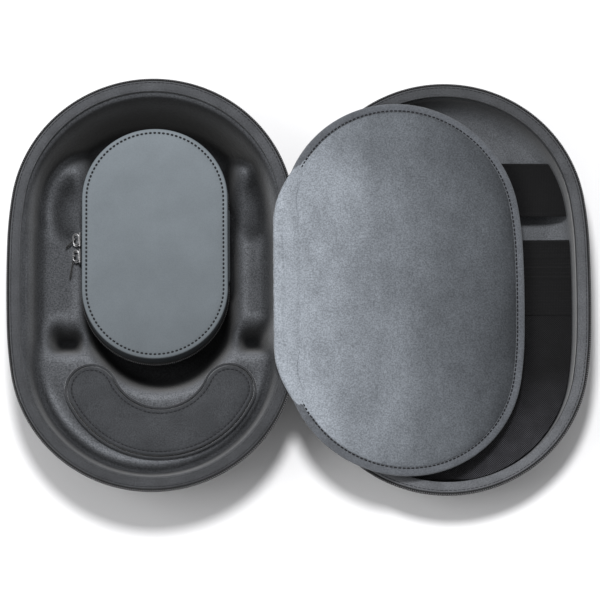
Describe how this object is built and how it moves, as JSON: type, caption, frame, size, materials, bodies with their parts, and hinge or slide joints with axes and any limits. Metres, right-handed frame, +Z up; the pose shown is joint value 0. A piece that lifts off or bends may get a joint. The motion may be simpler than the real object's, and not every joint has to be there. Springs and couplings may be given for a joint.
{
  "type": "headphone carrying case",
  "caption": "Oval hard-shell headphone case, opened flat, with moulded tray, leather-look pouch, padded divider flap, elastic strap, mesh pocket and zipper halves.",
  "frame": {"origin": "middle of the open case's outer box, on the plane both halves stand on; the hinge line lies over X = 0", "axes": "+X from the base half to the lid half, +Y along the case away from the crescent pad, +Z up"},
  "size_m": [0.3998, 0.2918, 0.0652],
  "materials": {
    "shell_fabric": "fine woven polyester bonded to a moulded foam shell",
    "rim_fabric": "fine woven grey polyester",
    "zipper_tape": "black woven zipper tape",
    "zipper_teeth": "black nylon coil teeth",
    "tray_velour": "short-pile velour over moulded foam",
    "pad_velour": "short-pile velour, stitched edge",
    "lining_fabric": "grey brushed lining",
    "elastic": "black woven elastic",
    "mesh_fabric": "black knitted mesh",
    "plush": "blue-grey short plush",
    "binding_tape": "grey folded binding tape",
    "pouch_leather": "smooth blue-grey synthetic leather",
    "pouch_lining": "dark brushed lining",
    "slider_metal": "polished zinc",
    "dark_metal": "black lacquered zinc",
    "pull_cord": "black woven cord with moulded end"
  },
  "bodies": {
    "base": {"base_shell": "shell_fabric", "base_rim": "rim_fabric", "base_zipper_tape": "zipper_tape", "base_zipper_teeth": "zipper_teeth", "tray_insert": "tray_velour", "crescent_pad": "pad_velour", "crescent_piping": "pad_velour", "spine_strip": "zipper_tape", "zipper_stub_north": "zipper_tape", "zipper_stub_south": "zipper_tape"},
    "lid": {"lid_shell": "shell_fabric", "lid_rim": "rim_fabric", "lid_zipper_tape": "zipper_tape", "lid_zipper_teeth": "zipper_teeth", "lid_lining": "lining_fabric", "elastic_strap": "elastic", "pocket_band": "elastic", "mesh_pocket": "mesh_fabric"},
    "divider_hinge": {"divider_hinge_roll": "plush"},
    "divider": {"divider_cushion": "plush", "divider_backing": "lining_fabric", "divider_binding": "binding_tape"},
    "pouch": {"pouch_tub": "pouch_leather", "pouch_tub_lining": "pouch_lining", "pouch_lower_zipper": "zipper_tape", "pouch_lower_hinge": "pouch_leather"},
    "pouch_cover": {"pouch_wall": "pouch_leather", "pouch_panel": "pouch_leather", "pouch_piping": "pouch_leather", "pouch_upper_zipper": "zipper_tape", "pouch_upper_hinge": "pouch_leather"},
    "pouch_slider_north": {"pouch_slider_north": "slider_metal"},
    "pouch_slider_south": {"pouch_slider_south": "slider_metal"},
    "pouch_pull_north": {"pouch_pull_north": "pull_cord"},
    "pouch_pull_south": {"pouch_pull_south": "pull_cord"},
    "main_slider_north": {"main_slider_north": "dark_metal"},
    "main_slider_south": {"main_slider_south": "dark_metal"},
    "main_pull_north": {"main_pull_north": "pull_cord"},
    "main_pull_south": {"main_pull_south": "pull_cord"}
  },
  "joints": [
    {"name": "lid_hinge", "type": "hinge", "parent": "base", "child": "lid", "pos_m": [0, 0, 0.0512], "axis": [0, 1, 0], "range_deg": [-180, 0]},
    {"name": "divider_carry", "type": "hinge", "parent": "base", "child": "divider_hinge", "pos_m": [-0.015, 0, 0.0632], "axis": [0, 1, 0], "range_deg": [-190.2, 0]},
    {"name": "divider_flip", "type": "hinge", "parent": "divider_hinge", "child": "divider", "pos_m": [-0.015, 0, 0.0632], "axis": [0, -1, 0], "range_deg": [0, 190]},
    {"name": "pouch_lift", "type": "slide", "parent": "base", "child": "pouch", "axis": [0, 0, 1], "range_m": [0, 0.12]},
    {"name": "pouch_cover_hinge", "type": "hinge", "parent": "pouch", "child": "pouch_cover", "pos_m": [-0.0474, 0.03, 0.037], "axis": [0, 1, 0], "range_deg": [0, 82]},
    {"name": "pouch_slider_north_slide", "type": "slide", "parent": "pouch", "child": "pouch_slider_north", "axis": [0, 1, 0], "range_m": [0, 0.018]},
    {"name": "pouch_slider_south_slide", "type": "slide", "parent": "pouch", "child": "pouch_slider_south", "axis": [0, -1, 0], "range_m": [0, 0.018]},
    {"name": "pouch_pull_north_swing", "type": "hinge", "parent": "pouch_slider_north", "child": "pouch_pull_north", "pos_m": [-0.1543, 0.0368, 0.037], "axis": [0, 0, 1], "range_deg": [-110, 5]},
    {"name": "pouch_pull_south_swing", "type": "hinge", "parent": "pouch_slider_south", "child": "pouch_pull_south", "pos_m": [-0.1543, 0.0252, 0.037], "axis": [0, 0, 1], "range_deg": [-50, 8]},
    {"name": "main_slider_north_slide", "type": "slide", "parent": "base", "child": "main_slider_north", "axis": [0, 1, 0], "range_m": [0, 0.008]},
    {"name": "main_slider_south_slide", "type": "slide", "parent": "base", "child": "main_slider_south", "axis": [0, -1, 0], "range_m": [0, 0.008]},
    {"name": "main_pull_north_swing", "type": "hinge", "parent": "main_slider_north", "child": "main_pull_north", "pos_m": [0, 0.0705, 0.047], "axis": [1, 0, 0], "range_deg": [-30, 80]},
    {"name": "main_pull_south_swing", "type": "hinge", "parent": "main_slider_south", "child": "main_pull_south", "pos_m": [0, -0.0705, 0.047], "axis": [-1, 0, 0], "range_deg": [-30, 80]}
  ],
  "couplings": [
    {"joint": "divider_carry", "follows": "lid_hinge", "ratio": 1.0556}
  ]
}
